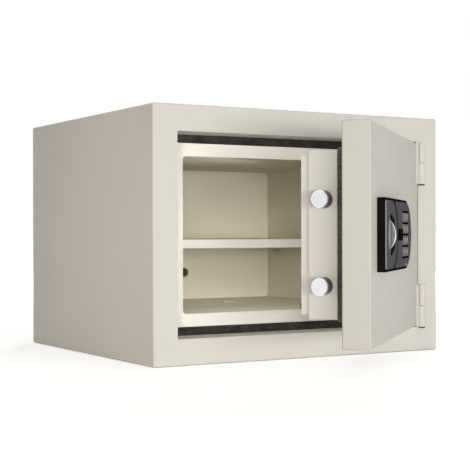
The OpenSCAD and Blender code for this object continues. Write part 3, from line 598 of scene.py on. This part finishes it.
def flat_seal(look):
    """The rubber seal on the cabinet's step: a flat band with a raised bead along each edge."""
    depth, width, columns = 37.5, 10.2, 16
    half_x, half_z, corner_r, step = 174.7, 118.7, 12.0, 3.0
    band, squareness = 0.75, 8
    bead_rise, bead_at, bead_width, highest = 0.65, (0.2, 0.8), 0.11, 1.45

    def profile(run):
        pairs = [(0.0, depth)]
        for c in range(columns + 1):
            t = c/columns
            bead = sum(math.exp(-((t - at)/bead_width)**2) for at in bead_at)
            rise = band*math.sqrt(max(0.0, 1 - abs(2*t - 1)**squareness)) + bead_rise*bead
            pairs.append((-width*t, depth - min(highest, rise)))
        pairs.append((-width, depth))
        return pairs

    path = ring_path(-half_x, MID_Z - half_z, half_x, MID_Z + half_z, corner_r, step)
    seal = swept_ring("step_seal_band", path, profile, from_front())
    seal.data.materials.append(look)
    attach(seal, "cabinet")
    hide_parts("frame_seal")


# Key figures

# Height of the characters and how far they rise from the keys, in mm
FIGURE_SIZE = 6.4
FIGURE_RISE = 0.06


def key_box(node, inverse):
    """The node's box in closed-door metres."""
    points = [inverse @ v.co for v in frame["nodes"][node].data.vertices]
    lo = Vector(min(p[i] for p in points) for i in range(3))
    hi = Vector(max(p[i] for p in points) for i in range(3))
    return lo, hi


def figure_mesh(name, sign):
    """One character as a thin raised mesh in its own XY plane."""
    curve = bpy.data.curves.new(name, "FONT")
    curve.body = sign
    curve.size = FIGURE_SIZE*MM
    curve.extrude = FIGURE_RISE*MM
    curve.align_x = "CENTER"
    curve.align_y = "CENTER"
    text = add_object(name + "_text", curve)
    bpy.context.view_layer.update()
    mesh = bpy.data.meshes.new_from_object(text.evaluated_get(bpy.context.evaluated_depsgraph_get()))
    bpy.data.objects.remove(text)
    return mesh


def key_figures(look):
    """Plain figures on the keys, a star on the clear key and a hash on the enter key."""
    signs = {"key_clear": "*", "key_enter": "#", **{f"key_{n}": str(n) for n in range(10)}}
    upright = Matrix(((1, 0, 0), (0, 0, 1), (0, -1, 0))).transposed().to_4x4()
    inverse = door_matrix().inverted()
    for key, sign in signs.items():
        lo, hi = key_box(key, inverse)
        centre = Vector(((lo.x + hi.x)/2, lo.y, (lo.z + hi.z)/2))
        mesh = figure_mesh(key + "_figure", sign)
        mesh.transform(door_matrix() @ Matrix.Translation(centre) @ upright)
        mesh.materials.clear()
        mesh.materials.append(look)
        obj = add_object(key + "_figure", mesh)
        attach(obj, key)


# Studio

def math_node(tree, operation, first, second):
    """A maths node between two sockets."""
    n = tree.nodes.new("ShaderNodeMath")
    n.operation = operation
    tree.links.new(first, n.inputs[0])
    tree.links.new(second, n.inputs[1])
    return n.outputs[0]


def ray_share(tree):
    """1 for what the camera sees, straight or in a shiny or clear surface, and 0 for other light."""
    rays = tree.nodes.new("ShaderNodeLightPath")
    share = rays.outputs["Is Camera Ray"]
    for kind in ("Is Glossy Ray", "Is Transmission Ray"):
        share = math_node(tree, "MAXIMUM", share, rays.outputs[kind])
    return share


def make_floor():
    """Pale floor, white to the camera where it is lit, with the safe's soft shadow on it.

    Its glow rises with the distance from the safe, so that it meets the white world without an edge.
    """
    half, drop = 30, 0.2*MM
    glow_starts, glow_full = 0.6, 1.8
    mesh = bpy.data.meshes.new("floor")
    mesh.from_pydata([(-half, -half, 0), (half, -half, 0), (half, half, 0), (-half, half, 0)], [],
                     [(0, 1, 2, 3)])
    floor = add_object("floor", mesh)
    floor.location.z = -drop
    mat = bpy.data.materials.new("floor")
    mat.use_nodes = True
    tree = mat.node_tree
    diffuse = tree.nodes["Principled BSDF"]
    diffuse.inputs["Base Color"].default_value = (0.82, 0.82, 0.81, 1)
    diffuse.inputs["Roughness"].default_value = 1
    diffuse.inputs["Specular IOR Level"].default_value = 0
    distance = tree.nodes.new("ShaderNodeVectorMath")
    distance.operation = "LENGTH"
    tree.links.new(tree.nodes.new("ShaderNodeTexCoord").outputs["Object"], distance.inputs[0])
    level = tree.nodes.new("ShaderNodeMapRange")
    level.inputs["From Min"].default_value = glow_starts
    level.inputs["From Max"].default_value = glow_full
    level.inputs["To Min"].default_value = FLOOR_GLOW
    level.inputs["To Max"].default_value = 1
    tree.links.new(distance.outputs["Value"], level.inputs["Value"])
    glow = tree.nodes.new("ShaderNodeEmission")
    strength = math_node(tree, "MULTIPLY", ray_share(tree), level.outputs["Result"])
    tree.links.new(strength, glow.inputs["Strength"])
    both = tree.nodes.new("ShaderNodeAddShader")
    tree.links.new(diffuse.outputs[0], both.inputs[0])
    tree.links.new(glow.outputs[0], both.inputs[1])
    tree.links.new(both.outputs[0], tree.nodes["Material Output"].inputs["Surface"])
    mesh.materials.append(mat)


def make_world():
    """Even studio light from all round; white where the camera sees it."""
    world = bpy.data.worlds.new("studio")
    bpy.context.scene.world = world
    world.use_nodes = True
    tree = world.node_tree
    back = tree.nodes["Background"]
    level = tree.nodes.new("ShaderNodeMix")
    level.data_type = "RGBA"
    tree.links.new(ray_share(tree), level.inputs[0])
    level.inputs[6].default_value = (1.05*AMBIENT, AMBIENT, 0.94*AMBIENT, 1)
    level.inputs[7].default_value = (1, 1, 1, 1)
    tree.links.new(level.outputs[2], back.inputs["Color"])
    back.inputs["Strength"].default_value = 1


def make_lamp(name, spot, size, power, aim=(0, -0.05, 0.15), tint=(1, 1, 1), blockers=None, lit=None):
    """A soft box that shows in no mirror. size is its width and height, and all lengths are metres.

    blockers says what stops its light, and lit what receives it. Without them it is everything.
    """
    data = bpy.data.lights.new(name, "AREA")
    data.shape = "RECTANGLE"
    data.size, data.size_y = size
    data.energy = power
    data.color = tint
    lamp = bpy.data.objects.new(name, data)
    lamp.location = spot
    lamp.rotation_euler = (Vector(aim) - Vector(spot)).to_track_quat("-Z", "Y").to_euler()
    lamp.visible_camera = False
    lamp.visible_glossy = False
    bpy.context.scene.collection.objects.link(lamp)
    lamp.light_linking.blocker_collection = blockers
    lamp.light_linking.receiver_collection = lit


def group_of(name, objects):
    """A collection of objects for the lamps to name."""
    group = bpy.data.collections.new(name)
    for obj in objects:
        group.objects.link(obj)
    return group


def all_but(name, objects):
    """The same for what a lamp's light passes by."""
    group = group_of(name, objects)
    for item in group.collection_objects:
        item.light_linking.link_state = "EXCLUDE"
    return group


def make_flag():
    """A card before the ledge left of the opening, which only keeps the inside lamp's light off it."""
    x0, x1, y, z0, z1 = -175, -157, 20, 31, 269
    mesh = bpy.data.meshes.new("flag")
    mesh.from_pydata([front(x0, y, z0), front(x1, y, z0), front(x1, y, z1), front(x0, y, z1)], [],
                     [(0, 1, 2, 3)])
    flag = add_object("flag", mesh)
    for ray in ("camera", "diffuse", "glossy", "transmission"):
        setattr(flag, "visible_" + ray, False)
    return flag


def make_lights():
    """Large boxes behind, overhead and low in front, small ones in front and beside, four for the inside.

    The photograph shows no shadow of the door on the frame, so the door doesn't stop two of them.
    """
    nodes = frame["nodes"]
    bodies = frame["record"]["behaviour"]["bodies"]
    door_side = [nodes[n] for body, names in bodies.items() if body not in ("cabinet", "shelf")
                 for n in names]
    flag = make_flag()
    past_door = all_but("door_side", door_side + [flag])
    past_flag = all_but("flagged", [flag])
    make_lamp("back_box", (2.0, 2.3, 0.8), (1.5, 1.5), power=45, blockers=past_flag)
    make_lamp("top_box", (0, -0.3, 2.2), (2, 2), power=18, blockers=past_door)
    make_lamp("front_box", front(-370, -2275, 230), (0.5, 0.3), power=10, blockers=past_door)
    make_lamp("low_box", (-0.5, -2.4, 0.12), (1.8, 0.22), power=27, blockers=past_flag)
    make_lamp("side_box", front(-750, 0, 150), (0.3, 0.3), power=0.65, aim=front(0, 0, 150),
              tint=(1.1, 1, 0.87), blockers=past_flag)

    liner = [nodes[n] for n in ("inner_liner", "shelf_pegs", "anchor_grommets")]
    inside = group_of("inside", liner + [nodes["shelf"]])
    deep = group_of("deep_inside", liner)
    make_lamp("inside_key", front(-1126, -1863, 607), (0.4, 0.3), power=14, lit=inside)
    make_lamp("lower_fill", front(0, 45, 110), (0.26, 0.08), power=0.038, aim=front(0, 145, 85), lit=deep)
    make_lamp("floor_fill", front(0, 215, 125), (0.24, 0.14), power=0.03, aim=front(0, 215, 57), lit=deep)
    make_lamp("upper_fill", front(-60, 45, 190), (0.14, 0.09), power=0.05, aim=front(-101, 134, 173),
              lit=deep)


def main():
    make_camera()
    looks = finishes()
    dress_nodes(looks)
    braided_seal(looks["seal_braid"])
    flat_seal(looks["seal_foam"])
    key_figures(moulding("figure_ink", (222, 222, 218), rough=0.6, grain=0.3))
    make_floor()
    make_world()
    make_lights()
    bpy.context.scene.view_settings.view_transform = "Standard"


main()
